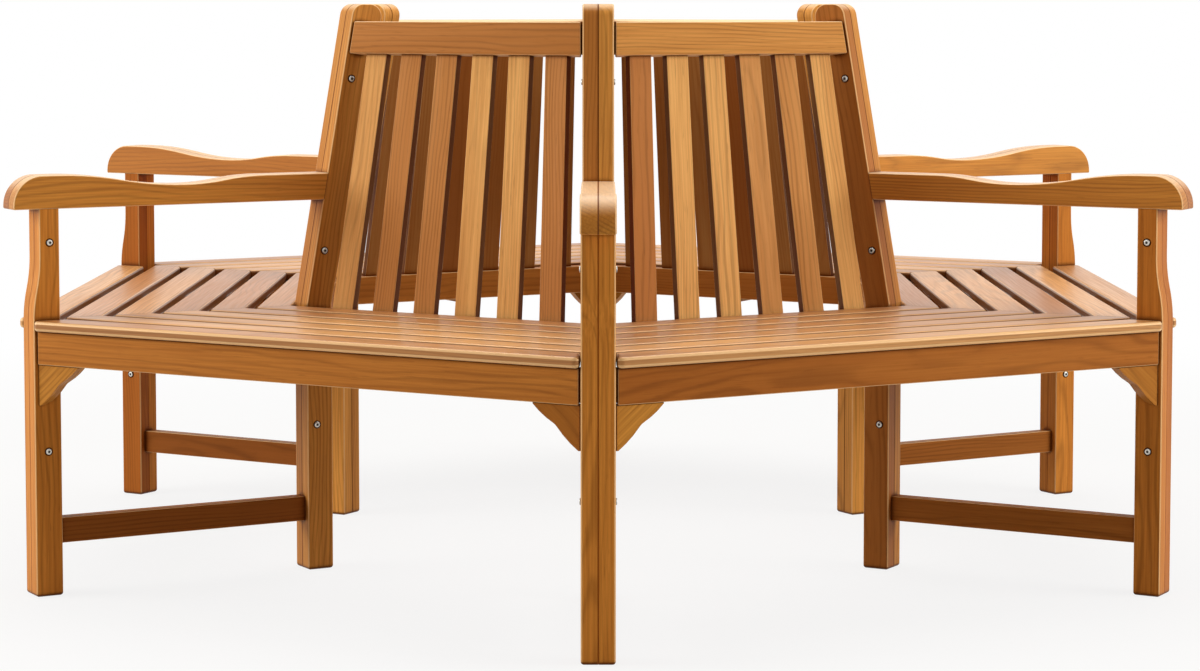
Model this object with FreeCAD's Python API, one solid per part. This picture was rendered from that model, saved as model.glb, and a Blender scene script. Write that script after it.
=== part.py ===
import FreeCAD, Part
import math
import os

# Hexagonal tree bench in oiled hardwood: six straight bays that stand in a ring round a trunk.
# Each bay has an end frame at both ends, and the two frames that meet at a corner are bolted
# flat against each other. Millimetres. The origin is on the ground at the middle of the ring,
# +Z is up, and one corner of the hexagon points along -Y.

# Layout of the ring
BAYS = 6
TURN = 360.0 / BAYS
HALF_TURN = TURN / 2
CORNER_NAMES = ("front", "front_right", "rear_right", "rear", "rear_left", "front_left")
BAY_NAMES = ("front_right", "right", "rear_right", "rear_left", "left", "front_left")
FIRST_CORNER_ANGLE = -90.0

# End frame boards
BOARD = 24.5
LEG_FACE = 1020.0
LEG_DEPTH = 43.0
LEG_SETBACK = 11.0
LEG_CURVE_LOW = 428.0
LEG_CURVE_HIGH = 530.0
FRAME_DEPTH = 462.0
POST_DEPTH = 44.0
POST_TOP_DEPTH = 54.0
POST_TOP = 920.0
POST_BEND = 435.0
POST_LEAN = 10.15
POST_CROWN = 20.0
FRAME_EDGE = 2.5
PAIR_EDGE = 0.8
FOOT_EDGE = 5.0

# Armrest, seen from the side
ARM_BOARD = 25.5
ARM_UNDERSIDE = 604.0
ARM_OVERHANG = 30.0
ARM_CURL_RADIUS = 47.0
ARM_CURL_LIP = 5.0
ARM_CREST_BACK = 70.0
ARM_DIP_BACK = 285.0
ARM_DIP_DEPTH = 32.0
ARM_REST_BACK = 417.0
ARM_REST_DEPTH = 43.0

# Lower stretcher and seat bearer between leg and post
STRETCHER_BOTTOM = 80.0
STRETCHER_HEIGHT = 40.0
STRETCHER_BOARD = 12.0
STRETCHER_EDGE = 1.5
BEARER_HEIGHT = 48.0
BEARER_BOARD = 22.0

# Seat
SEAT_TOP = 432.0
SEAT_SLATS = 6
SEAT_SLAT_WIDTH = 54.0
SEAT_SLAT_THICK = 16.0
SEAT_SLAT_EDGE = 5.0
SEAT_NOSE_EDGE = 5.0
SEAT_NOSE_CORNER = 8.0
SEAT_OVERHANG = 8.5
SEAT_BACK_GAP = 2.6
SEAM_GAP = 1.5
FRONT_SLAT_CLEAR = 0.5

# Rails along a bay
APRON_SETBACK = 2.0
APRON_THICK = 22.0
APRON_HEIGHT = 52.0
SEAT_RAIL_SETBACK = 4.0
SEAT_RAIL_THICK = 26.0
SEAT_RAIL_HEIGHT = 50.0
SEAT_RAIL_DROP = 5.0
TOP_RAIL_SETBACK = 1.0
TOP_RAIL_THICK = 26.0
TOP_RAIL_HEIGHT = 52.0
TOP_RAIL_BELOW_POST = 28.0
RAIL_EDGE = 2.0
RAIL_END_GAP = 2.0

# Back slats, fanned out towards the seat
BACK_SLATS = 6
BACK_SLAT_WIDTH = 39.0
BACK_SLAT_THICK = 14.0
BACK_SLAT_SETBACK = 9.0
BACK_SLAT_SEAT = 10.0
BACK_SLAT_EDGE = 1.0

# Corner bracket under each apron end
BRACKET_LENGTH = 78.0
BRACKET_HEIGHT = 64.0
BRACKET_THICK = 20.0
BRACKET_SETBACK = 3.0
BRACKET_TIP = 2.0
BRACKET_WAIST_ALONG = 0.53
BRACKET_WAIST_DOWN = 0.45
BRACKET_WAIST_RADIUS = 20.0
BRACKET_BULGE = 2.0
BRACKET_EDGE = 1.5

# Mortise and tenon joints
TENON_LENGTH = 14.0
TENON_THICK = 10.0
TENON_SHOULDER = 8.0
BAY_TENON_LENGTH = 7.5
BAY_TENON_SHOULDER = 3.0
STRETCHER_TENON_THICK = 8.0

# Bolts that hold the two frames of a corner together, with sleeve nuts
BOLT_DIAMETER = 6.0
BOLT_CLEARANCE = 0.25
BOLT_HEAD_DIAMETER = 9.5
BOLT_HEAD_HEIGHT = 4.0
BOLT_HEAD_PROUD = 2.0
BOLT_RECESS_DIAMETER = 13.5
BOLT_SOCKET_ACROSS = 4.0
BOLT_SOCKET_DEPTH = 2.4
BOLT_END_GAP = 2.0
SLEEVE_DIAMETER = 8.0
SLEEVE_LENGTH = 16.0
THREAD_CLEARANCE = 0.1
LEG_LOW_BOLT = 227.0
LEG_BOLT_BELOW_ARM = 52.0
POST_LOW_BOLT = 238.0
POST_BOLT_BELOW_ARM = 83.0
POST_BOLT_BELOW_TOP = 121.0
POST_BOLT_INSET = 16.0

# Screws that hold the seat slats from below
SCREW_DIAMETER = 4.0
SCREW_HEAD_DIAMETER = 8.0
SCREW_HEAD_HEIGHT = 2.5
SCREW_BORE_DIAMETER = 9.0
SCREW_BITE = 10.0
SCREW_UNDER_SLAT = 20.0
SCREW_CLEARANCE = 0.15
APRON_SCREW_INSET = 60.0
MIDDLE_BEARER_THICK = 25.0

# Slack when an edge is picked out by where it lies
NEAR = 1.0

COS = math.cos(math.radians(HALF_TURN))
SIN = math.sin(math.radians(HALF_TURN))
TAN = math.tan(math.radians(HALF_TURN))
LEAN_SLOPE = math.tan(math.radians(POST_LEAN))
RAIL_END = BOARD + RAIL_END_GAP
SLAT_UNDERSIDE = SEAT_TOP - SEAT_SLAT_THICK
APRON_BOTTOM = SLAT_UNDERSIDE - APRON_HEIGHT
LEG_BACK = LEG_FACE - LEG_DEPTH
POST_FACE = LEG_FACE - FRAME_DEPTH
ARM_CURL_DEPTH = ARM_CURL_RADIUS + ARM_CURL_LIP
UP = FreeCAD.Vector(0, 0, 1)
ALONG = FreeCAD.Vector(0, 1, 0)
ORIGIN = FreeCAD.Vector(0, 0, 0)


def post_face(z):
    # Radius of the post's sitting side at a height
    return POST_FACE - max(0.0, z - POST_BEND) * LEAN_SLOPE


def bay_offset(radius):
    # Distance from the ring's centre, square to a bay, of a frame's inner side at a radius
    return radius * COS + BOARD * SIN


APRON_FACE = bay_offset(LEG_FACE) - APRON_SETBACK
SEAT_NOSE = APRON_FACE + SEAT_OVERHANG
SEAT_DEPTH = SEAT_NOSE - SEAT_BACK_GAP - bay_offset(POST_FACE)
SEAT_SLAT_GAP = (SEAT_DEPTH - SEAT_SLATS * SEAT_SLAT_WIDTH) / (SEAT_SLATS - 1)
SEAT_RAIL_FACE = bay_offset(POST_FACE) - SEAT_RAIL_SETBACK
SEAT_RAIL_TOP = SEAT_TOP - SEAT_RAIL_DROP
BAY_LEAN = math.degrees(math.atan(LEAN_SLOPE * COS))
TOP_RAIL_TOP = POST_TOP - TOP_RAIL_BELOW_POST
TOP_RAIL_BOTTOM = TOP_RAIL_TOP - TOP_RAIL_HEIGHT * math.cos(math.radians(BAY_LEAN))


def outline(start, *steps):
    # Closed face in the XZ plane. A step is an end point, or a pair: point on the arc, end point
    def place(point):
        return FreeCAD.Vector(point[0], 0, point[1])

    edges = []
    here = start
    for step in steps:
        if isinstance(step[0], tuple):
            on_arc, end = step
            edges.append(Part.Arc(place(here), place(on_arc), place(end)).toShape())
        else:
            end = step
            edges.append(Part.LineSegment(place(here), place(end)).toShape())
        here = end
    edges.append(Part.LineSegment(place(here), place(start)).toShape())
    return Part.Face(Part.Wire(edges))


def ogee(start, end, level):
    # Two equal arcs from start to end that leave and arrive level, or upright when level is False
    run = ((end[0] - start[0]) / 2, (end[1] - start[1]) / 2)
    along, across = run if level else (run[1], run[0])
    radius = (along ** 2 + across ** 2) / (2 * abs(across))
    angle = math.asin(abs(along) / radius) / 2
    step = (math.copysign(radius * math.sin(angle), along),
            math.copysign(radius * (1 - math.cos(angle)), across))
    move = step if level else (step[1], step[0])
    middle = (start[0] + run[0], start[1] + run[1])
    first = (start[0] + move[0], start[1] + move[1])
    second = (end[0] - move[0], end[1] - move[1])
    return (first, middle), (second, end)


def slab(face, low, high):
    # A face of the XZ plane thickened from one Y to another
    placed = face.copy()
    placed.translate(ALONG * low)
    return placed.extrude(ALONG * (high - low))


def box(x, y, z):
    # Box between pairs of limits
    return Part.makeBox(x[1] - x[0], y[1] - y[0], z[1] - z[0], FreeCAD.Vector(x[0], y[0], z[0]))


def rod(diameter, start, direction, length):
    return Part.makeCylinder(diameter / 2, length, start, direction)


def turned(shape, angle):
    copy = shape.copy()
    copy.rotate(ORIGIN, UP, angle)
    return copy


def softened(shape, radius, chosen=None):
    edges = shape.Edges if chosen is None else [edge for edge in shape.Edges if chosen(edge)]
    return shape.makeFillet(radius, edges)


def runs_along(edge):
    # True for an edge much longer along Y than across it
    size = edge.BoundBox
    return size.YLength > 2 * max(size.XLength, size.ZLength)


def upright(edge):
    size = edge.BoundBox
    return size.ZLength > 2 * max(size.XLength, size.YLength)


def at_pairing(edge):
    # True for the edges of the face that lies against the other board of the corner
    return max(abs(edge.BoundBox.YMin), abs(edge.BoundBox.YMax)) < NEAR


def eased(blank, meets):
    # A board of a frame with its edges eased, less so on the pairing face, and not where it meets
    # another board square on
    outer = softened(blank, FRAME_EDGE, lambda edge: not at_pairing(edge) and not meets(edge))
    return softened(outer, PAIR_EDGE, lambda edge: at_pairing(edge) and not meets(edge))


def eased_board(blank, meets):
    # A leg or post with a rounder foot
    footed = softened(blank, FOOT_EDGE, lambda edge: edge.BoundBox.ZMax < NEAR and not at_pairing(edge))
    return eased(footed, lambda edge: at_foot(edge) or meets(edge))


def at_foot(edge):
    # True for the edges that the rounding of the foot leaves on its outer sides
    return edge.BoundBox.ZMax < 2 * FOOT_EDGE and not at_pairing(edge)


def under_arm(edge):
    # True for the edges of a leg's top
    return edge.BoundBox.ZMin > ARM_UNDERSIDE - NEAR


def at_post(edge):
    # True for the edges of an armrest's back end
    return edge.BoundBox.XMax < POST_FACE


def on_crown(edge):
    # True for the edges that run across a post's rounded top
    return edge.BoundBox.ZMin > POST_BEND + NEAR and runs_along(edge)


def single(shape):
    # The one solid that a boolean leaves
    return shape.Solids[0]


def side_span(side, thick):
    # Y limits of a board of the frame at a bay's +Y end (side 1) or -Y end (side -1),
    # in the frame's own axes, where X points out along the corner
    return (-thick, 0) if side > 0 else (0, thick)


def in_bay(shape, side):
    # From a frame's own axes to the bay's, where X points out square to the bay
    return turned(shape, side * HALF_TURN)


# End frame

def leg_blank(side):
    back = LEG_BACK
    upper = LEG_FACE - LEG_SETBACK
    curve = ogee((LEG_FACE, LEG_CURVE_LOW), (upper, LEG_CURVE_HIGH), False)
    face = outline((back, 0), (LEG_FACE, 0), (LEG_FACE, LEG_CURVE_LOW), *curve,
                   (upper, ARM_UNDERSIDE), (back, ARM_UNDERSIDE))
    return eased_board(slab(face, *side_span(side, BOARD)), under_arm)


def leg_tenon(side):
    # Tenon on the leg's top, into the armrest
    low, high = side_span(side, BOARD)
    middle = (low + high) / 2
    return box((LEG_BACK + TENON_SHOULDER, LEG_FACE - LEG_SETBACK - TENON_SHOULDER),
               (middle - TENON_THICK / 2, middle + TENON_THICK / 2),
               (ARM_UNDERSIDE - TENON_SHOULDER, ARM_UNDERSIDE + TENON_LENGTH))


def post_blank(side):
    top_face = post_face(POST_TOP)
    back = POST_FACE - POST_DEPTH
    face = outline((back, 0), (POST_FACE, 0), (POST_FACE, POST_BEND), (top_face, POST_TOP),
                   (top_face - POST_TOP_DEPTH, POST_TOP), (back, POST_BEND))
    blank = slab(face, *side_span(side, BOARD))
    return eased_board(softened(blank, POST_CROWN, on_crown), on_crown)


def arm_end(z):
    # The armrest's back end lies on the leaning face of the post
    return (post_face(z), z)


def arm_blank(side):
    tip = LEG_FACE + ARM_OVERHANG
    curl_top = ARM_UNDERSIDE + ARM_CURL_DEPTH
    curl_centre = (tip - ARM_CURL_RADIUS, curl_top - ARM_CURL_RADIUS)
    diagonal = ARM_CURL_RADIUS * math.cos(math.radians(45))
    on_curl = (curl_centre[0] + diagonal, curl_centre[1] + diagonal)
    crest = (tip - ARM_CREST_BACK, curl_top)
    dip = (tip - ARM_DIP_BACK, ARM_UNDERSIDE + ARM_DIP_DEPTH)
    rest = (tip - ARM_REST_BACK, ARM_UNDERSIDE + ARM_REST_DEPTH)
    face = outline((tip, ARM_UNDERSIDE), (tip, curl_centre[1]), (on_curl, (curl_centre[0], curl_top)),
                   crest, *ogee(crest, dip, True), *ogee(dip, rest, True),
                   arm_end(rest[1]), arm_end(ARM_UNDERSIDE))
    return eased(slab(face, *side_span(side, ARM_BOARD)), at_post)


def arm_tenon(side):
    # Tenon on the armrest's back end, into the post
    low, high = side_span(side, BOARD)
    middle = (low + high) / 2
    bottom = ARM_UNDERSIDE + TENON_SHOULDER
    top = ARM_UNDERSIDE + ARM_REST_DEPTH - TENON_SHOULDER
    face = outline((post_face(bottom) - TENON_LENGTH, bottom), (post_face(bottom) + TENON_LENGTH, bottom),
                   (post_face(bottom) + TENON_LENGTH, top), (post_face(top) - TENON_LENGTH, top))
    return slab(face, middle - TENON_THICK / 2, middle + TENON_THICK / 2)


def frame_rail(side, thick, bottom, top, edge):
    # A board from post to leg
    blank = box((POST_FACE, LEG_BACK), side_span(side, thick), (bottom, top))
    return softened(blank, edge, lambda e: e.BoundBox.XLength > LEG_BACK - POST_FACE - NEAR)


def frame_rail_tenon(side, thick, bottom, top, tenon):
    # One bar through the whole rail that sticks out at both ends
    low, high = side_span(side, thick)
    middle = (low + high) / 2
    return box((POST_FACE - TENON_LENGTH, LEG_BACK + TENON_LENGTH),
               (middle - tenon / 2, middle + tenon / 2),
               (bottom + TENON_SHOULDER, top - TENON_SHOULDER))


def stretcher_sizes(side):
    return side, STRETCHER_BOARD, STRETCHER_BOTTOM, STRETCHER_BOTTOM + STRETCHER_HEIGHT


def bearer_sizes(side):
    return side, BEARER_BOARD, SLAT_UNDERSIDE - BEARER_HEIGHT, SLAT_UNDERSIDE


def bolt_places():
    # Radius and height of every bolt of a corner
    low_leg = ((LEG_FACE + LEG_BACK) / 2, LEG_LOW_BOLT)
    high_leg = ((LEG_FACE - LEG_SETBACK + LEG_BACK) / 2, ARM_UNDERSIDE - LEG_BOLT_BELOW_ARM)
    post_heights = (POST_LOW_BOLT, ARM_UNDERSIDE - POST_BOLT_BELOW_ARM, POST_TOP - POST_BOLT_BELOW_TOP)
    return [low_leg, high_leg] + [(post_face(z) - POST_BOLT_INSET, z) for z in post_heights]


def bolt_holes(side):
    # Heads lie on the boards of side 1, sleeve nuts on the boards of side -1
    low, high = side_span(side, BOARD)
    sunk = BOLT_HEAD_HEIGHT - BOLT_HEAD_PROUD
    outer = low if side > 0 else high - sunk
    holes = []
    for radius, z in bolt_places():
        holes.append(rod(BOLT_RECESS_DIAMETER, FreeCAD.Vector(radius, outer, z), ALONG, sunk))
        holes.append(rod(BOLT_DIAMETER + 2 * BOLT_CLEARANCE, FreeCAD.Vector(radius, low, z), ALONG, BOARD))
        if side < 0:
            start = FreeCAD.Vector(radius, high - sunk - SLEEVE_LENGTH - BOLT_END_GAP, z)
            holes.append(rod(SLEEVE_DIAMETER + 2 * BOLT_CLEARANCE, start, ALONG,
                             SLEEVE_LENGTH + BOLT_END_GAP + sunk))
    return holes


def socket(centre, direction):
    # Hexagonal recess for a key
    radius = BOLT_SOCKET_ACROSS / math.sqrt(3)
    points = [centre + FreeCAD.Vector(radius * math.cos(math.radians(60 * k)), 0,
                                      radius * math.sin(math.radians(60 * k))) for k in range(7)]
    return Part.Face(Part.makePolygon(points)).extrude(direction * BOLT_SOCKET_DEPTH)


def pairing_bolt(radius, z):
    # Head on the -Y side, shank towards +Y, in a corner's own axes
    outer = -BOARD - BOLT_HEAD_PROUD
    seat = outer + BOLT_HEAD_HEIGHT
    nut_seat = BOARD + BOLT_HEAD_PROUD - BOLT_HEAD_HEIGHT
    head = softened(rod(BOLT_HEAD_DIAMETER, FreeCAD.Vector(radius, outer, z), ALONG, BOLT_HEAD_HEIGHT),
                    BOLT_SOCKET_DEPTH / 2, lambda edge: edge.BoundBox.YMax < outer + NEAR)
    shank = rod(BOLT_DIAMETER, FreeCAD.Vector(radius, seat, z), ALONG, nut_seat - BOLT_END_GAP - seat)
    return single(head.fuse(shank).cut(socket(FreeCAD.Vector(radius, outer, z), ALONG)))


def sleeve_nut(radius, z):
    # Flange on the +Y side, threaded sleeve back towards the bolt
    outer = BOARD + BOLT_HEAD_PROUD
    seat = outer - BOLT_HEAD_HEIGHT
    flange = softened(rod(BOLT_HEAD_DIAMETER, FreeCAD.Vector(radius, seat, z), ALONG, BOLT_HEAD_HEIGHT),
                      BOLT_SOCKET_DEPTH / 2, lambda edge: edge.BoundBox.YMin > outer - NEAR)
    sleeve = rod(SLEEVE_DIAMETER, FreeCAD.Vector(radius, seat - SLEEVE_LENGTH, z), ALONG, SLEEVE_LENGTH)
    bore = rod(BOLT_DIAMETER + 2 * THREAD_CLEARANCE, FreeCAD.Vector(radius, seat - SLEEVE_LENGTH, z), ALONG,
               SLEEVE_LENGTH)
    return single(flange.fuse(sleeve).cut(bore).cut(socket(FreeCAD.Vector(radius, outer, z), -ALONG)))


# Bay pieces, with X out square to the bay, Y along it

def half_length(x, side):
    # Half the bay's length at an offset, up to the plane that lies side away from the corner's middle
    return x * TAN - side / COS


def bay_plank(x, z, side):
    # A level plank between two offsets with its ends cut along the corner planes
    corners = []
    for offset, sign in ((x[0], -1), (x[1], -1), (x[1], 1), (x[0], 1), (x[0], -1)):
        corners.append(FreeCAD.Vector(offset, sign * half_length(offset, side), z[0]))
    return Part.Face(Part.makePolygon(corners)).extrude(UP * (z[1] - z[0]))


def between_frames(shape, side):
    # What of a shape lies between two planes that stand a distance (side) inside the bay's corners
    return single(shape.common(bay_plank((side / SIN, 2 * LEG_FACE), (-POST_TOP, 2 * POST_TOP), side)))


def bay_tenon(x, z):
    # One bar through a rail that sticks out into both frames, as high as the rail but for a
    # shoulder below
    middle = (x[0] + x[1]) / 2
    reach = half_length(middle, BOARD) + BAY_TENON_LENGTH
    return box((middle - TENON_THICK / 2, middle + TENON_THICK / 2), (-reach, reach),
               (z[0] + BAY_TENON_SHOULDER, z[1]))


def leaned(shape, x, z):
    # A shape built upright at the origin, leaned back with the posts and put at an offset and height
    copy = shape.copy()
    copy.rotate(ORIGIN, ALONG, -BAY_LEAN)
    copy.translate(FreeCAD.Vector(x, 0, z))
    return copy


def apron_limits():
    return (APRON_FACE - APRON_THICK, APRON_FACE), (APRON_BOTTOM, SLAT_UNDERSIDE)


def seat_rail_limits():
    across = (SEAT_RAIL_FACE - SEAT_RAIL_THICK, SEAT_RAIL_FACE)
    return across, (SEAT_RAIL_TOP - SEAT_RAIL_HEIGHT, SEAT_RAIL_TOP)


def level_rail(limits):
    return softened(bay_plank(*limits, RAIL_END), RAIL_EDGE).fuse(bay_tenon(*limits))


def top_rail_base():
    # Lower front edge of the top rail
    return bay_offset(post_face(TOP_RAIL_BOTTOM)) - TOP_RAIL_SETBACK, TOP_RAIL_BOTTOM


def top_rail():
    reach = half_length(LEG_FACE, 0)
    blank = box((-TOP_RAIL_THICK, 0), (-reach, reach), (0, TOP_RAIL_HEIGHT))
    rail = between_frames(leaned(blank, *top_rail_base()), RAIL_END)
    return softened(rail, RAIL_EDGE).fuse(top_rail_tenon())


def top_rail_tenon():
    x, z = top_rail_base()
    reach = half_length(x - TOP_RAIL_THICK / 2, BOARD) + BAY_TENON_LENGTH
    middle = -TOP_RAIL_THICK / 2
    bar = box((middle - TENON_THICK / 2, middle + TENON_THICK / 2), (-reach, reach),
              (BAY_TENON_SHOULDER, TOP_RAIL_HEIGHT - BAY_TENON_SHOULDER))
    return leaned(bar, x, z)


def back_slat_face(z):
    # Offset of the back slats' front face at a height, on a plane parallel to the leaning posts
    return bay_offset(POST_FACE - (z - POST_BEND) * LEAN_SLOPE) - BACK_SLAT_SETBACK


def back_slat_centre(index, z):
    # The slats share the bay's length in equal gaps, so they fan out towards the seat
    length = 2 * half_length(back_slat_face(z), BOARD)
    pitch = (length + BACK_SLAT_WIDTH) / (BACK_SLATS + 1)
    return (index - (BACK_SLATS - 1) / 2) * pitch


def back_slat(index):
    rise = (TOP_RAIL_BOTTOM - SEAT_RAIL_TOP) / math.cos(math.radians(BAY_LEAN))
    low = back_slat_centre(index, SEAT_RAIL_TOP)
    high = back_slat_centre(index, TOP_RAIL_BOTTOM)
    slope = (high - low) / rise
    bottom = -BACK_SLAT_SEAT
    top = rise + BACK_SLAT_SEAT
    half = BACK_SLAT_WIDTH / 2
    corners = []
    for level, sign in ((bottom, -1), (bottom, 1), (top, 1), (top, -1), (bottom, -1)):
        corners.append(FreeCAD.Vector(0, low + slope * level + sign * half, level))
    board = Part.Face(Part.makePolygon(corners)).extrude(FreeCAD.Vector(-BACK_SLAT_THICK, 0, 0))
    board = softened(board, BACK_SLAT_EDGE, lambda edge: edge.BoundBox.ZLength > rise)
    return leaned(board, back_slat_face(SEAT_RAIL_TOP), SEAT_RAIL_TOP)


def seat_slat_limits(index):
    outer = SEAT_NOSE - index * (SEAT_SLAT_WIDTH + SEAT_SLAT_GAP)
    return outer - SEAT_SLAT_WIDTH, outer


def seat_slat(index):
    limits = seat_slat_limits(index)
    end = BOARD + FRONT_SLAT_CLEAR if index == 0 else SEAM_GAP / 2
    plank = bay_plank(limits, (SLAT_UNDERSIDE, SEAT_TOP), end)
    if index > 0:
        return softened(plank, SEAT_SLAT_EDGE, runs_along)
    back, nose = limits
    cornered = softened(plank, SEAT_NOSE_CORNER, lambda e: e.BoundBox.XMin > nose - NEAR and upright(e))
    rounded = softened(cornered, SEAT_NOSE_EDGE, lambda e: e.BoundBox.XMax > back + NEAR and not upright(e))
    return softened(rounded, SEAT_SLAT_EDGE, lambda e: e.BoundBox.XMax < back + NEAR and runs_along(e))


def middle_bearer():
    # Runs from the seat rail to the apron under the middle of the slats
    half = MIDDLE_BEARER_THICK / 2
    return box((SEAT_RAIL_FACE, APRON_FACE - APRON_THICK), (-half, half),
               (SLAT_UNDERSIDE - BEARER_HEIGHT, SLAT_UNDERSIDE))


def bracket(side):
    # Board with a lobed edge in the corner of apron and leg
    front = APRON_FACE - BRACKET_SETBACK
    root = half_length(front, BOARD)
    tip = (root - BRACKET_LENGTH, APRON_BOTTOM)
    foot = (root, APRON_BOTTOM - BRACKET_HEIGHT)
    waist = (tip[0] + BRACKET_LENGTH * (1 - BRACKET_WAIST_ALONG),
             APRON_BOTTOM - BRACKET_HEIGHT * BRACKET_WAIST_DOWN)
    slant = math.hypot(BRACKET_LENGTH, BRACKET_HEIGHT)
    out = (-BRACKET_BULGE * BRACKET_HEIGHT / slant, -BRACKET_BULGE * BRACKET_LENGTH / slant)

    def swelled(start, end):
        return (start[0] + end[0]) / 2 + out[0], (start[1] + end[1]) / 2 + out[1]

    lip = (tip[0], tip[1] - BRACKET_TIP)
    heel = (foot[0] - 2 * BRACKET_TIP, foot[1])
    past = root + BRACKET_THICK
    face = outline((past, APRON_BOTTOM), tip, lip, (swelled(lip, waist), waist),
                   (swelled(waist, heel), heel), (past, foot[1]))
    board = slab(face, -BRACKET_THICK, 0)
    board.rotate(ORIGIN, UP, 90)
    board.translate(FreeCAD.Vector(front - BRACKET_THICK, 0, 0))

    def at_waist(edge):
        size = edge.BoundBox
        return abs(size.YMin - waist[0]) < NEAR and abs(size.ZMin - waist[1]) < NEAR and size.YLength < NEAR

    def meets_apron_or_leg(edge):
        size = edge.BoundBox
        return size.XMin > front - NEAR and (size.ZMin > APRON_BOTTOM - NEAR or size.YMin > heel[0] + NEAR)

    board = softened(between_frames(board, BOARD), BRACKET_WAIST_RADIUS, at_waist)
    board = softened(board, BRACKET_EDGE, meets_apron_or_leg)
    return board if side > 0 else board.mirror(ORIGIN, ALONG)


def screw_places():
    # Offset and along-bay place of every slat screw. The front slat's go through the apron,
    # the other slats' through the bearers
    apron_x = APRON_FACE - APRON_THICK / 2
    reach = half_length(apron_x, BOARD) - APRON_SCREW_INSET
    places = [(apron_x, y) for y in (-reach, 0, reach)]
    bearer_middle = BEARER_BOARD / 2
    for index in range(1, SEAT_SLATS):
        x = sum(seat_slat_limits(index)) / 2
        reach = half_length(x, bearer_middle)
        places += [(x, y) for y in (-reach, 0, reach)]
    return places


def screw_bottom():
    return SLAT_UNDERSIDE - SCREW_UNDER_SLAT


def slat_screw(x, y):
    # Flat head under the bearer's counterbore floor, shank up into the slat
    start = FreeCAD.Vector(x, y, screw_bottom())
    head = rod(SCREW_HEAD_DIAMETER, start - UP * SCREW_HEAD_HEIGHT, UP, SCREW_HEAD_HEIGHT)
    shank = rod(SCREW_DIAMETER, start, UP, SCREW_UNDER_SLAT + SCREW_BITE)
    return single(head.fuse(shank))


def screw_hole(x, y, bottom):
    wide = rod(SCREW_BORE_DIAMETER, FreeCAD.Vector(x, y, bottom), UP, screw_bottom() - bottom)
    narrow = rod(SCREW_DIAMETER + 2 * SCREW_CLEARANCE, FreeCAD.Vector(x, y, screw_bottom()), UP,
                 SCREW_UNDER_SLAT + SCREW_BITE)
    return wide.fuse(narrow)


def build_bay():
    # Every piece of the bay whose middle lies on +X. Frame pieces are keyed by side
    screw_bores = Part.makeCompound([screw_hole(x, y, APRON_BOTTOM) for x, y in screw_places()])
    slats = [back_slat(index) for index in range(BACK_SLATS)]
    slat_tools = Part.makeCompound(slats)
    apron_tenon = bay_tenon(*apron_limits())
    seat_rail_tenon = bay_tenon(*seat_rail_limits())
    bay = {
        "apron": [single(level_rail(apron_limits()).cut(screw_bores))],
        "seat_rail": [single(level_rail(seat_rail_limits()).cut(slat_tools))],
        "top_rail": [single(top_rail().cut(slat_tools))],
        "back_slats": slats,
        "seat_slats": [single(seat_slat(index).cut(screw_bores)) for index in range(SEAT_SLATS)],
        "middle_bearer": [single(middle_bearer().cut(screw_bores))],
        "brackets": [bracket(1), bracket(-1)],
        "screws": [slat_screw(x, y) for x, y in screw_places()],
    }
    for side in (1, -1):
        holes = Part.makeCompound(bolt_holes(side))
        stretcher_tenon = frame_rail_tenon(*stretcher_sizes(side), STRETCHER_TENON_THICK)
        bearer_tenon = frame_rail_tenon(*bearer_sizes(side), TENON_THICK)
        sockets = Part.makeCompound([stretcher_tenon, bearer_tenon, holes])
        leg = in_bay(leg_blank(side).cut(sockets).fuse(leg_tenon(side)), side)
        post = in_bay(post_blank(side).cut(sockets).cut(arm_tenon(side)), side)
        arm = in_bay(arm_blank(side).fuse(arm_tenon(side)).cut(leg_tenon(side)), side)
        stretcher = frame_rail(*stretcher_sizes(side), STRETCHER_EDGE).fuse(stretcher_tenon)
        bearer = in_bay(frame_rail(*bearer_sizes(side), STRETCHER_EDGE).fuse(bearer_tenon), side)
        bay["leg", side] = single(leg.cut(apron_tenon))
        bay["post", side] = single(post.cut(seat_rail_tenon).cut(top_rail_tenon()))
        bay["arm", side] = single(arm)
        bay["stretcher", side] = single(in_bay(stretcher, side))
        bay["bearer", side] = single(bearer.cut(screw_bores))
    return bay


def build_nodes():
    bay = build_bay()
    nodes = {}
    shared = ("stretchers", "middle_bearers", "corner_brackets",
              "slat_screws", "pairing_bolts", "sleeve_nuts")
    for name in shared:
        nodes[name] = []
    for number in range(BAYS):
        corner_angle = FIRST_CORNER_ANGLE + number * TURN
        corner = CORNER_NAMES[number] + "_corner_"
        for kind, plural in (("leg", "legs"), ("post", "back_posts"), ("arm", "armrests"),
                             ("bearer", "seat_bearers"), ("stretcher", "stretchers")):
            pair = [turned(bay[kind, side], corner_angle - side * HALF_TURN) for side in (1, -1)]
            if plural in shared:
                nodes[plural] += pair
            else:
                nodes[corner + plural] = pair
        nodes["pairing_bolts"] += [turned(pairing_bolt(*place), corner_angle) for place in bolt_places()]
        nodes["sleeve_nuts"] += [turned(sleeve_nut(*place), corner_angle) for place in bolt_places()]
        bay_angle = corner_angle + HALF_TURN
        bay_name = BAY_NAMES[number] + "_bay_"
        for kind in ("apron", "seat_slats", "seat_rail", "top_rail", "back_slats"):
            nodes[bay_name + kind] = [turned(piece, bay_angle) for piece in bay[kind]]
        for kind, shared_name in (("middle_bearer", "middle_bearers"), ("brackets", "corner_brackets"),
                                  ("screws", "slat_screws")):
            nodes[shared_name] += [turned(piece, bay_angle) for piece in bay[kind]]
    return nodes


os.makedirs("parts", exist_ok=True)
for node_name, solids in build_nodes().items():
    node_shape = solids[0] if len(solids) == 1 else Part.makeCompound(solids)
    node_shape.exportStep("parts/" + node_name + ".step")
    print(node_name, len(solids), round(node_shape.Volume / 1000), "cm3", node_shape.isValid())
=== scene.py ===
import math

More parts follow.
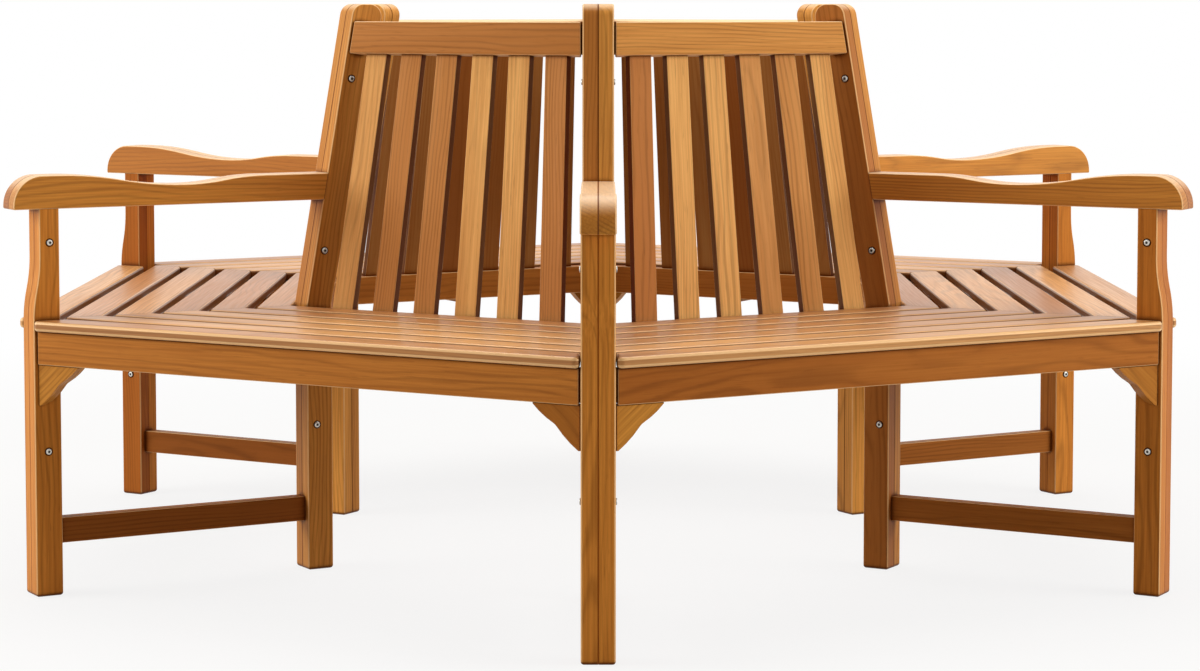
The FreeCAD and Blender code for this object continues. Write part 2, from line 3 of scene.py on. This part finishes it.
import bpy
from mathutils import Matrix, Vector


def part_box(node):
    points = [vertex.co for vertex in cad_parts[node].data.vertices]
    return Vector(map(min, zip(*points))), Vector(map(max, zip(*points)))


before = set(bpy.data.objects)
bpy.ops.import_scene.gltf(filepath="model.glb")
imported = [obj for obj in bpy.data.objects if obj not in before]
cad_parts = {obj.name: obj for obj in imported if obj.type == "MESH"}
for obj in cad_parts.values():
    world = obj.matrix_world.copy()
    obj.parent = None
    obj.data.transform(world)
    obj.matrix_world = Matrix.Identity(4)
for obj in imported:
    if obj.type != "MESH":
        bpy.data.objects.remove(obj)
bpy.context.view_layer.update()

# Hexagonal tree bench in oiled hardwood. The CAD nodes keep their shapes, and this script gives
# them their wood and steel, the floor, the light and the camera.

MM = 0.001
# The ring's sides, and the angle that one side takes
SIDES = 6
SECTOR = math.radians(360 / SIDES)


# Small helpers

def colour(code):
    # sRGB hex to the linear colour that a shader takes
    parts = [int(code[place:place + 2], 16) / 255 for place in (1, 3, 5)]
    linear = [part / 12.92 if part <= 0.04045 else ((part + 0.055) / 1.055) ** 2.4 for part in parts]
    return (*linear, 1.0)


def add(tree, kind, inputs=None, **settings):
    # One shader node. An input is a value or another node's output
    node = tree.nodes.new("ShaderNode" + kind)
    for name, value in settings.items():
        setattr(node, name, value)
    for name, value in (inputs or {}).items():
        if isinstance(value, bpy.types.NodeSocket):
            tree.links.new(value, node.inputs[name])
        else:
            node.inputs[name].default_value = value
    return node


def blank_material(name):
    material = bpy.data.materials.new(name)
    material.use_nodes = True
    material.node_tree.nodes.clear()
    return material, material.node_tree


# Wood

# One growth ring of a plantation tree, how many rings the waves in the grain shift it by, how many
# radians the rings can be turned from one board to the next, and how far apart two boards are cut
RING = 5.5 * MM
WAVE_SHIFT = 9.0
LOG_TURN = 19.0
BOARD_SPREAD = 40.0
# Patterns in the grain: cell size across it, how many times longer along it, and detail. The real fibres
# and pores are about 0.3 mm wide and are drawn coarser here to show
PATTERNS = {
    "wave": (110.0 * MM, 5, 2.5),
    "patch": (25.0 * MM, 17, 2.0),
    "cloud": (85.0 * MM, 17, 1.0),
    "fibre": (3.2 * MM, 50, 3.0),
    "pore": (2.2 * MM, 14, 1.0),
}
# How far out of a joint the painted shade reaches, and half the dark line between two boards
JOINT_SHADE = 12.0 * MM
SEAM = 1.1 * MM
# How far the fibres stand out, and what a pore sinks in as a share of that
FIBRE_RELIEF = 0.2 * MM
PORE_PIT = -0.6
# Roughness of the oiled fibres, from the smoothest to the roughest, and what full polish takes off it
SATIN = (0.42, 0.54)
POLISHED_OFF = 0.05
# Colours that all the boards share, and the tint that the oil gives to their sheen
# Painted highlight along the rounded edges
EDGE_HIGHLIGHT = "#EEC48C"
# Painted top light: pale on faces that look up
TOP_HIGHLIGHT = "#F4DDB8"
# Painted shade on the sides of the gaps between seat slats
GAP_SHADE = "#643413"
# Painted shade on the back slats' rear faces
REAR_SHADE = "#7B3C07"
OIL_SHEEN = "#E8B070"

# How finely the painted shade of joints and recesses is worked out
CORNER_SAMPLES = 8

# Sizes of the bench that tell one board from the next
SEAT_SLATS = 6
SEAT_SLAT_GAP = 16.0 * MM
BACK_SLATS = 6
BACK_SLAT_WIDTH = 39.0 * MM
FRAME_BOARD = 24.5 * MM
# Where the posts and the backs begin to lean, how much, and the slant of a bracket
POST_BEND = 435.0 * MM
POST_SLOPE = math.tan(math.radians(10.15))
BRACKET_LENGTH = 78.0 * MM
BRACKET_HEIGHT = 64.0 * MM
BRACKET_SLANT = math.atan2(BRACKET_HEIGHT, BRACKET_LENGTH)
# Angles of the middle lines of the first bay and of the corner next to it
BAY_MIDDLE = 0.0
CORNER_MIDDLE = SECTOR / 2


def sector_axes(tree, middle):
    # Place in the axes of the nearest bay or corner: X out from the trunk, Y along the bay, Z up.
    # middle is the angle of one sector's middle line. Also gives the sector's number and the turn
    place = add(tree, "TexCoord").outputs["Object"]
    split = add(tree, "SeparateXYZ", {0: place})
    angle = add(tree, "Math", {0: split.outputs["Y"], 1: split.outputs["X"]}, operation="ARCTAN2")
    shifted = add(tree, "Math", {0: angle.outputs[0], 1: SECTOR / 2 - middle}, operation="ADD")
    stepped = add(tree, "Math", {0: shifted.outputs[0], 1: SECTOR}, operation="SNAP").outputs[0]
    count = add(tree, "Math", {0: stepped, 1: SECTOR}, operation="DIVIDE")
    whole = add(tree, "Math", {0: count.outputs[0]}, operation="ROUND")
    number = add(tree, "Math", {0: whole.outputs[0], 1: float(SIDES)}, operation="FLOORED_MODULO").outputs[0]
    sector = add(tree, "Math", {0: stepped, 1: middle}, operation="ADD")
    back = add(tree, "Math", {0: sector.outputs[0], 1: -1.0}, operation="MULTIPLY").outputs[0]
    local = add(tree, "VectorRotate", {"Vector": place, "Angle": back}, rotation_type="Z_AXIS")
    return local.outputs[0], number, back


def seat_slat_number(tree, place):
    # Counted inwards from the front slat, which is 0
    low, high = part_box("right_bay_seat_slats")
    pitch = (high[0] - low[0] + SEAT_SLAT_GAP) / SEAT_SLATS
    split = add(tree, "SeparateXYZ", {0: place})
    inwards = add(tree, "Math", {0: high[0] + SEAT_SLAT_GAP / 2, 1: split.outputs["X"]}, operation="SUBTRACT")
    steps = add(tree, "Math", {0: inwards.outputs[0], 1: pitch}, operation="DIVIDE")
    return add(tree, "Math", {0: steps.outputs[0]}, operation="FLOOR").outputs[0]


def fanned(tree, place):
    # A back slat's number, and the place with Y measured from that slat's own middle. The slats
    # share the length between two frames, which grows outwards, so their pitch grows with X
    per_metre = 2 * math.tan(SECTOR / 2) / (BACK_SLATS + 1)
    at_centre = (BACK_SLAT_WIDTH - 2 * FRAME_BOARD / math.cos(SECTOR / 2)) / (BACK_SLATS + 1)
    split = add(tree, "SeparateXYZ", {0: place})
    pitch = add(tree, "Math", {0: split.outputs["X"], 1: per_metre, 2: at_centre}, operation="MULTIPLY_ADD")
    steps = add(tree, "Math", {0: split.outputs["Y"], 1: pitch.outputs[0]}, operation="DIVIDE").outputs[0]
    number = add(tree, "Math", {0: steps}, operation="FLOOR").outputs[0]
    share = add(tree, "Math", {0: steps}, operation="FRACT").outputs[0]
    aside = add(tree, "Math", {0: share, 1: 0.5}, operation="SUBTRACT").outputs[0]
    along = add(tree, "Math", {0: aside, 1: pitch.outputs[0]}, operation="MULTIPLY").outputs[0]
    parts = {"X": split.outputs["X"], "Y": along, "Z": split.outputs["Z"]}
    return number, add(tree, "CombineXYZ", parts).outputs[0]


def set_upright(tree, place, slope):
    # A leaning board's place as if it stood upright, from the bend up
    split = add(tree, "SeparateXYZ", {0: place})
    rise = add(tree, "Math", {0: split.outputs["Z"], 1: POST_BEND}, operation="SUBTRACT")
    rise = add(tree, "Math", {0: rise.outputs[0], 1: 0.0}, operation="MAXIMUM")
    out = add(tree, "Math", {0: rise.outputs[0], 1: slope, 2: split.outputs["X"]}, operation="MULTIPLY_ADD")
    parts = {"X": out.outputs[0], "Y": split.outputs["Y"], "Z": split.outputs["Z"]}
    return add(tree, "CombineXYZ", parts).outputs[0]


def along_grain(tree, place, grain):
    # Board axes from sector axes, with Z along the grain
    split = add(tree, "SeparateXYZ", {0: place})
    if grain == "slant":
        # A bracket's grain follows its slanting edge, mirrored at the bay's two ends
        mirrored = add(tree, "Math", {0: split.outputs["Y"]}, operation="ABSOLUTE").outputs[0]
        parts = {"X": split.outputs["X"], "Y": split.outputs["Z"], "Z": mirrored}
        folded = add(tree, "CombineXYZ", parts).outputs[0]
        return add(tree, "VectorRotate", {"Vector": folded, "Angle": -BRACKET_SLANT},
                   rotation_type="X_AXIS").outputs[0]
    order = {"up": "XYZ", "along": "XZY", "out": "YZX"}[grain]
    parts = {axis: split.outputs[source] for axis, source in zip("XYZ", order)}
    return add(tree, "CombineXYZ", parts).outputs[0]


def oiled_wood(name, seed, family, boards, grain, broad, tones, slope=0.0, seam=0.0, polish=0.0,
               top_light=0.0):
    # Planed and oiled teak-like hardwood: fine grain, short dark pores and a satin sheen that shows most
    # at a low angle, more where people sit and lean. Each board has its own cut and tone. Rounded edges
    # get a pale painted highlight, and top faces a pale painted top light. Sawn ends are darker with oil.
    # The corners where boards meet get painted shade, and so do the back slats' edges and rear faces
    pale, deep, vein, ruddy = tones
    material, tree = blank_material(name)
    own, number, back = sector_axes(tree, CORNER_MIDDLE if family == "corner" else BAY_MIDDLE)
    aside = add(tree, "SeparateXYZ", {0: own}).outputs["Y"]
    which = 0.0
    place = own
    if boards == "pair":
        which = add(tree, "Math", {0: aside}, operation="SIGN").outputs[0]
    elif boards == "seat":
        which = seat_slat_number(tree, own)
    elif boards == "back":
        which, place = fanned(tree, own)
    if slope:
        place = set_upright(tree, place, slope)
    board = along_grain(tree, place, grain)
    key = add(tree, "CombineXYZ", {"X": number, "Y": which, "Z": float(seed)})
    chance = add(tree, "TexWhiteNoise", {"Vector": key.outputs[0]}, noise_dimensions="3D")
    lot = chance.outputs["Value"]
    offset = add(tree, "VectorMath", {0: chance.outputs["Color"], "Scale": BOARD_SPREAD}, operation="SCALE")
    seeded = add(tree, "VectorMath", {0: board, 1: offset.outputs[0]}, operation="ADD").outputs[0]

    # The patterns, drawn out along the grain
    grown = {}
    for pattern, (size, longer, detail) in PATTERNS.items():
        drawn = add(tree, "VectorMath", {0: seeded, 1: (1.0, 1.0, 1 / longer)}, operation="MULTIPLY")
        grown[pattern] = add(tree, "TexNoise", {"Vector": drawn.outputs[0], "Scale": 1 / size,
                                                "Detail": detail}).outputs[0]

    # Growth rings: nearly flat layers through the board, bent by slow waves, stronger here and there
    turn = add(tree, "Math", {0: lot, 1: LOG_TURN}, operation="MULTIPLY")
    log = add(tree, "VectorRotate", {"Vector": seeded, "Angle": turn.outputs[0]}, rotation_type="Z_AXIS")
    depth = add(tree, "SeparateXYZ", {0: log.outputs[0]}).outputs["X"]
    rings = add(tree, "Math", {0: depth, 1: RING}, operation="DIVIDE").outputs[0]
    bent = add(tree, "Math", {0: grown["wave"], 1: WAVE_SHIFT, 2: rings}, operation="MULTIPLY_ADD")
    ring = add(tree, "Math", {0: bent.outputs[0], 1: 0.5}, operation="PINGPONG").outputs[0]
    late = add(tree, "Math", {0: ring, 1: grown["patch"]}, operation="MULTIPLY").outputs[0]

    # Which way the surface faces, in the sector's axes, and how closed in it is
    surface = add(tree, "NewGeometry").outputs["Normal"]
    facing = add(tree, "VectorRotate", {"Vector": surface, "Angle": back}, rotation_type="Z_AXIS")
    facing = add(tree, "SeparateXYZ", {0: facing.outputs[0]})
    end = add(tree, "Math", {0: facing.outputs[END_AXES[grain]]}, operation="ABSOLUTE").outputs[0]
    inward = add(tree, "Math", {0: facing.outputs["X"], 1: -1.0}, operation="MULTIPLY").outputs[0]
    square = add(tree, "Math", {0: facing.outputs[broad]}, operation="ABSOLUTE").outputs[0]
    aslant = add(tree, "Math", {0: 1.0, 1: square}, operation="SUBTRACT").outputs[0]
    rounded = add(tree, "Math", {0: square, 1: aslant}, operation="MULTIPLY").outputs[0]
    from_seam = add(tree, "Math", {0: aside}, operation="ABSOLUTE").outputs[0]
    open_air = add(tree, "AmbientOcclusion", {"Distance": JOINT_SHADE}, samples=CORNER_SAMPLES).outputs["AO"]

    # Layers of colour, from the palest wood up: what each follows, from where to where, share, colour
    layers = [
        (lot, 0.3, 0.95, 0.85, ruddy),
        (grown["fibre"], 0.25, 0.75, 0.45, deep),
        (grown["cloud"], 0.40, 0.72, 0.6, deep),
        (late, 0.10, 0.30, 0.30, vein),
        (grown["pore"], 0.62, 0.76, 0.18, vein),
        (end, 0.75, 0.95, 0.15, vein),
        # Painted highlight: rounded edges are painted paler
        (rounded, 0.05, 0.16, 0.75, EDGE_HIGHLIGHT),
        # Painted shade in joints and corners, from ambient occlusion
        (open_air, 0.90, 0.5, 0.85, vein)]
    if top_light:
        # Painted top light: faces that look up are painted paler
        layers.append((facing.outputs["Z"], 0.4, 0.9, top_light, TOP_HIGHLIGHT))
    if boards == "back":
        # Painted shade on the back slats' rear faces, which face the trunk
        layers.append((inward, 0.6, 0.95, 0.75, REAR_SHADE))
        # Painted shade on the back slats' sides
        layers.append((aslant, 0.6, 0.95, 0.85, vein))
    if seam:
        # Two boards' rounded edges meet here and the line between them holds oil
        layers.append((from_seam, 1.5 * SEAM, 0.5 * SEAM, 1.0, deep))
        layers.append((from_seam, 1.5 * SEAM, 0.5 * SEAM, seam, vein))
    if boards == "seat":
        # The sides of the gaps get painted shade, the nose of the front slat doesn't
        past_nose = add(tree, "Math", {0: which, 1: 2.0, 2: inward}, operation="MULTIPLY_ADD").outputs[0]
        past_nose = add(tree, "Math", {0: past_nose, 1: 0.3}, operation="GREATER_THAN").outputs[0]
        gap_shade = add(tree, "Math", {0: aslant, 1: past_nose}, operation="MULTIPLY").outputs[0]
        layers.append((gap_shade, 0.18, 0.34, 0.85, GAP_SHADE))
    tone = colour(pale)
    for guide, low, high, most, over in layers:
        share = add(tree, "MapRange", {"Value": guide, "From Min": low, "From Max": high, "To Max": most},
                    interpolation_type="SMOOTHSTEP")
        tone = add(tree, "Mix", {"Factor": share.outputs[0], "A": tone, "B": colour(over)},
                   data_type="RGBA").outputs["Result"]

    # Oil alone reflects little, and polish brings out more
    smooth, rough = (roughness - POLISHED_OFF * polish for roughness in SATIN)
    sheen = add(tree, "MapRange", {"Value": grown["fibre"], "From Min": 0.3, "From Max": 0.7,
                                   "To Min": smooth, "To Max": rough}).outputs[0]
    relief = add(tree, "Math", {0: grown["pore"], 1: PORE_PIT, 2: grown["fibre"]},
                 operation="MULTIPLY_ADD")
    bump = add(tree, "Bump", {"Height": relief.outputs[0], "Strength": 0.3, "Distance": FIBRE_RELIEF})
    shader = add(tree, "BsdfPrincipled", {"Base Color": tone, "Roughness": sheen, "IOR": 1.48,
                                          "Normal": bump.outputs[0],
                                          "Specular IOR Level": 0.2 + 0.3 * polish,
                                          "Coat Weight": 0.12 * polish, "Coat Roughness": 0.3,
                                          "Specular Tint": colour(OIL_SHEEN)})
    add(tree, "OutputMaterial", {"Surface": shader.outputs[0]})
    return material


END_AXES = {"up": "Z", "along": "Y", "slant": "Y", "out": "X"}
BAY_SLOPE = POST_SLOPE * math.cos(SECTOR / 2)
UNDER_TONES = ("#B06C2E", "#7C4416", "#481C04", "#884A1C")
RAIL_TONES = ("#C67F36", "#924F1A", "#501F05", "#A05B24")

# Kind of node: family, how its boards are told apart, grain, the axis square to its broad faces, tones
# (pale, deep, vein, ruddy), and where they apply the slope it leans at, seam, polish and painted top light
WOODS = {
    "legs": dict(family="corner", boards="pair", grain="up", broad="Y", seam=0.15,
                 tones=("#DE923E", "#9C541A", "#501F05", "#A45A22")),
    "back_posts": dict(family="corner", boards="pair", grain="up", broad="Y", slope=POST_SLOPE, seam=0.8,
                       top_light=0.4, tones=("#DE9C4A", "#A0602A", "#501F05", "#A8642E")),
    "armrests": dict(family="corner", boards="pair", grain="out", broad="Y", seam=0.7, polish=0.9,
                     top_light=0.45, tones=("#D8943E", "#9E5A1C", "#501F05", "#AC6626")),
    "seat_bearers": dict(family="corner", boards="pair", grain="out", broad="Y", tones=UNDER_TONES),
    "stretchers": dict(family="corner", boards="pair", grain="out", broad="Y", tones=UNDER_TONES),
    "middle_bearers": dict(family="bay", boards="", grain="out", broad="Z", tones=UNDER_TONES),
    "apron": dict(family="bay", boards="", grain="along", broad="X", tones=RAIL_TONES),
    "seat_rail": dict(family="bay", boards="", grain="along", broad="X", tones=RAIL_TONES),
    "top_rail": dict(family="bay", boards="", grain="along", broad="X", slope=BAY_SLOPE, top_light=0.4,
                     tones=("#D8984E", "#A8682E", "#50280E", "#B6743C")),
    "corner_brackets": dict(family="bay", boards="pair", grain="slant", broad="X",
                            tones=("#CC8C3A", "#8A4C14", "#501F05", "#9A5A20")),
    "seat_slats": dict(family="bay", boards="seat", grain="along", broad="Z", polish=1.9,
                       tones=("#D69E60", "#945E32", "#42200C", "#AC7242")),
    "back_slats": dict(family="bay", boards="back", grain="up", broad="X", slope=BAY_SLOPE,
                       tones=("#F2BA70", "#BA783A", "#4E1E04", "#B06838")),
}


# Steel

# Width of the dull spots, how much rougher they are, and how deep in a recess the painted shade reaches
DULL_SPOT = 3.0 * MM
DULLNESS = 0.15
RECESS_SHADE = 4.0 * MM
DULL = "#8F8E8A"
# Painted shade in the key socket
SOCKET_SHADE = "#1E1712"


def plated_steel(name, tint, roughness):
    # Turned and zinc plated steel: bright, with dull spots in the plating and painted shade in the key socket
    material, tree = blank_material(name)
    place = add(tree, "TexCoord").outputs["Object"]
    cloud = add(tree, "TexNoise", {"Vector": place, "Scale": 1 / DULL_SPOT, "Detail": 3.0}).outputs[0]
    rough = add(tree, "MapRange", {"Value": cloud, "From Min": 0.3, "From Max": 0.7, "To Min": roughness,
                                   "To Max": roughness + DULLNESS})
    shade = add(tree, "Mix", {"Factor": cloud, "A": colour(tint), "B": colour(DULL)}, data_type="RGBA")
    open_air = add(tree, "AmbientOcclusion", {"Distance": RECESS_SHADE}, samples=CORNER_SAMPLES).outputs["AO"]
    socket_shade = add(tree, "MapRange", {"Value": open_air, "From Min": 0.8, "From Max": 0.35}).outputs[0]
    tone = add(tree, "Mix", {"Factor": socket_shade, "A": shade.outputs["Result"], "B": colour(SOCKET_SHADE)},
               data_type="RGBA")
    surface = add(tree, "BsdfPrincipled", {"Base Color": tone.outputs["Result"], "Metallic": 1.0,
                                           "Roughness": rough.outputs[0]})
    add(tree, "OutputMaterial", {"Surface": surface.outputs[0]})
    return material


def dress_nodes():
    # Each node takes the finish that its name ends with
    finishes = {}
    for seed, (kind, build) in enumerate(WOODS.items()):
        finishes[kind] = oiled_wood("oiled_hardwood_" + kind, seed, **build)
    finishes["pairing_bolts"] = plated_steel("plated_steel_bolts", "#E6E2D8", 0.25)
    finishes["sleeve_nuts"] = finishes["pairing_bolts"]
    finishes["slat_screws"] = plated_steel("plated_steel_screws", "#C9C4B8", 0.35)
    for name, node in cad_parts.items():
        kind = next(kind for kind in finishes if name.endswith(kind))
        for slot in node.material_slots:
            slot.material = finishes[kind]


# Stage

# The floor's radius, how far from the middle its shadows fade out, and its least share of plain white
FLOOR_RADIUS = 80.0
FLOOR_CORNERS = 64
SHADOW_FADE = (1.2, 3.5)
LEAST_WHITE = 0.84
FLOOR_GREY = "#CCCAC6"
WHITE = (1, 1, 1, 1)
# The dome's strength and tint on the bench
FILL_STRENGTH = 0.2
FILL_TINT = "#FFE8CC"


def floor():
    # Pale studio floor. It keeps the bench's shadow near the bench and turns plain white further out
    material, tree = blank_material("studio_floor")
    path = add(tree, "LightPath")
    seen = add(tree, "Math", {0: path.outputs["Is Camera Ray"], 1: path.outputs["Is Glossy Ray"]},
               operation="MAXIMUM")
    seen = add(tree, "Math", {0: seen.outputs[0], 1: path.outputs["Is Transmission Ray"]},
               operation="MAXIMUM")
    place = add(tree, "TexCoord").outputs["Object"]
    reach = add(tree, "VectorMath", {0: place}, operation="LENGTH")
    near, far = SHADOW_FADE
    away = add(tree, "MapRange", {"Value": reach.outputs["Value"], "From Min": near, "From Max": far,
                                  "To Min": LEAST_WHITE, "To Max": 1.0}, interpolation_type="SMOOTHSTEP")
    share = add(tree, "Math", {0: away.outputs[0], 1: seen.outputs[0]}, operation="MULTIPLY")
    matt = add(tree, "BsdfPrincipled", {"Base Color": colour(FLOOR_GREY), "Roughness": 0.9})
    glow = add(tree, "Emission", {"Color": WHITE, "Strength": 1.0})
    surface = add(tree, "MixShader", {0: share.outputs[0], 1: matt.outputs[0], 2: glow.outputs[0]})
    add(tree, "OutputMaterial", {"Surface": surface.outputs[0]})

    mesh = bpy.data.meshes.new("studio_floor")
    turns = [2 * math.pi * k / FLOOR_CORNERS for k in range(FLOOR_CORNERS)]
    rim = [(FLOOR_RADIUS * math.cos(turn), FLOOR_RADIUS * math.sin(turn), 0) for turn in turns]
    mesh.from_pydata(rim, [], [tuple(range(FLOOR_CORNERS))])
    mesh.materials.append(material)
    disc = bpy.data.objects.new("studio_floor", mesh)
    bpy.context.scene.collection.objects.link(disc)


def surroundings():
    # White all round for the camera and for reflections, a soft and slightly warm dome for the rest
    world = bpy.data.worlds.new("studio")
    bpy.context.scene.world = world
    world.use_nodes = True
    tree = world.node_tree
    tree.nodes.clear()
    path = add(tree, "LightPath")
    seen = add(tree, "Math", {0: path.outputs["Is Camera Ray"], 1: path.outputs["Is Glossy Ray"]},
               operation="MAXIMUM")
    strength = add(tree, "MapRange", {"Value": seen.outputs[0], "To Min": FILL_STRENGTH, "To Max": 1.0})
    tint = add(tree, "Mix", {"Factor": seen.outputs[0], "A": colour(FILL_TINT), "B": WHITE},
               data_type="RGBA")
    back = add(tree, "Background", {"Color": tint.outputs["Result"], "Strength": strength.outputs[0]})
    add(tree, "OutputWorld", {"Surface": back.outputs[0]})


def softbox(name, place, target, size, power):
    # A rectangular lamp at a place, turned to face its target
    lamp = bpy.data.lights.new(name, "AREA")
    lamp.shape = "RECTANGLE"
    lamp.size, lamp.size_y = size
    lamp.energy = power
    box = bpy.data.objects.new(name, lamp)
    box.location = place
    aim = [b - a for a, b in zip(place, target)]
    flat = math.hypot(aim[0], aim[1])
    box.rotation_euler = (math.atan2(flat, -aim[2]), 0, math.atan2(aim[1], aim[0]) - math.pi / 2)
    bpy.context.scene.collection.objects.link(box)


def lights():
    # Each lamp's place and size in metres, and its power in watts
    middle = (0, 0, 0.5)
    softbox("overhead", (0, 0.6, 4.2), middle, (4.0, 4.0), 182)
    softbox("left_side", (-4.2, -0.8, 1.8), middle, (2.5, 2.0), 128)
    softbox("right_side", (4.2, -1.4, 1.8), middle, (2.5, 2.0), 126)


def camera():
    # Fitted to the photograph: straight in front of a corner, tipped down a little. The focal length
    # and the point that the lens looks at are in pixels of the picture
    width, height = 1200, 671
    focal = 3060.9
    centre_x, centre_y = 598.24, 218.49
    distance, eye_height, tip = 5.23256, 0.91915, 4
    view = bpy.data.cameras.new("camera")
    view.sensor_width = 36.0
    view.lens = focal / width * view.sensor_width
    view.shift_x = (width / 2 - centre_x) / width
    view.shift_y = (centre_y - height / 2) / width
    view.clip_end = 2.5 * FLOOR_RADIUS
    eye = bpy.data.objects.new("camera", view)
    eye.location = (0, -distance, eye_height)
    eye.rotation_euler = (math.radians(90 - tip), 0, 0)
    bpy.context.scene.collection.objects.link(eye)
    bpy.context.scene.camera = eye


dress_nodes()
floor()
surroundings()
lights()
camera()
bpy.context.scene.view_settings.view_transform = "Standard"
